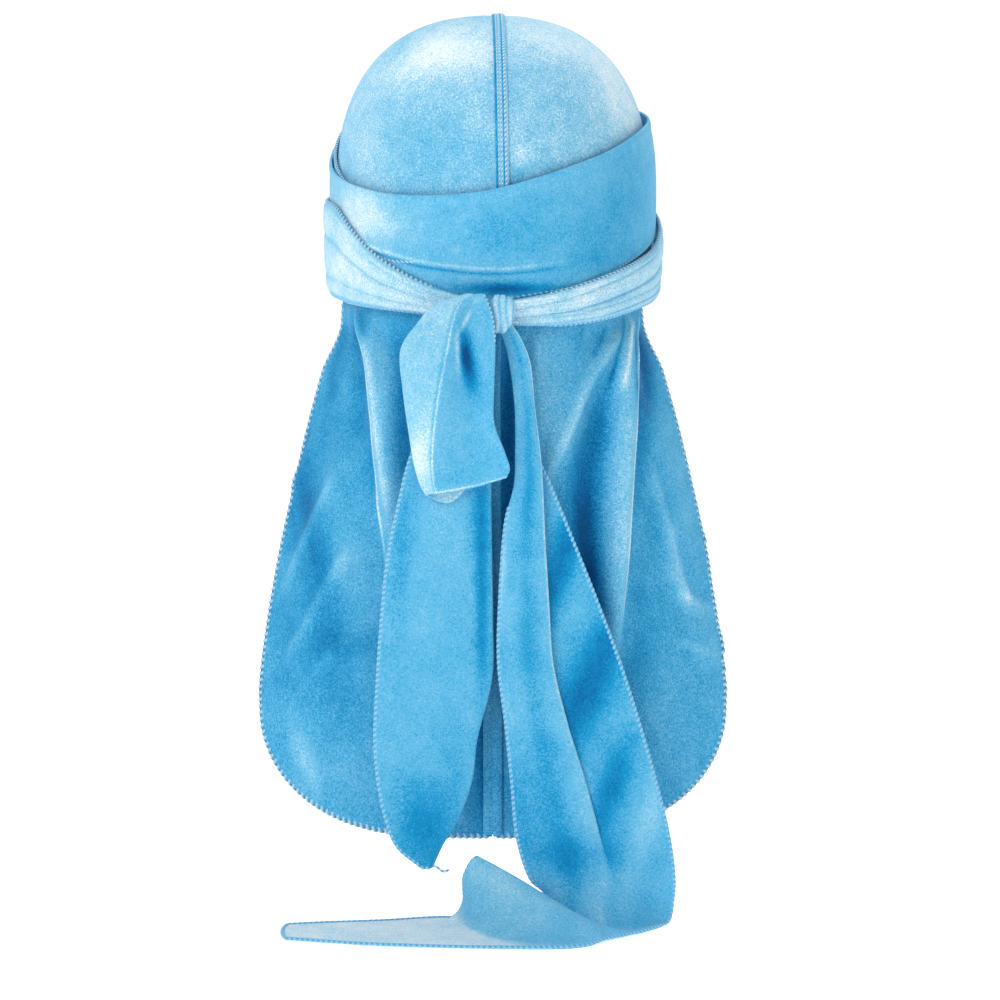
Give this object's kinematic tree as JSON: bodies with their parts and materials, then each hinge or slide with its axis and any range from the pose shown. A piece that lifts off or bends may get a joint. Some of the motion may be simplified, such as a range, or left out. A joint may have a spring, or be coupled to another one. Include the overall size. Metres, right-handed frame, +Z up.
{
  "type": "velvet durag",
  "caption": "Soft velvet head wrap: a fitted two-panel cap with a centre seam, long ties knotted at the nape in a half bow, and a wide cape hanging behind.",
  "frame": {"origin": "the crown of the head, on the inside of the cap", "axes": "+Z up, +Y the way the wearer faces, +X the wearer's right"},
  "size_m": [0.2262, 0.2542, 0.4357],
  "materials": {
    "velvet": "short pile velvet",
    "tie_velvet": "short pile velvet",
    "stitching": "overlocked thread"
  },
  "bodies": {
    "root": {"cap_left": "velvet", "cap_right": "velvet", "crown_seam": "stitching", "forehead_band": "velvet", "left_tie_wrap": "tie_velvet", "right_tie_wrap": "tie_velvet", "knot": "tie_velvet", "bow_loop": "tie_velvet", "left_tie_tail": "tie_velvet", "right_tie_tail": "tie_velvet", "cape_left": "velvet", "cape_right": "velvet", "cape_seam": "stitching"}
  },
  "joints": []
}
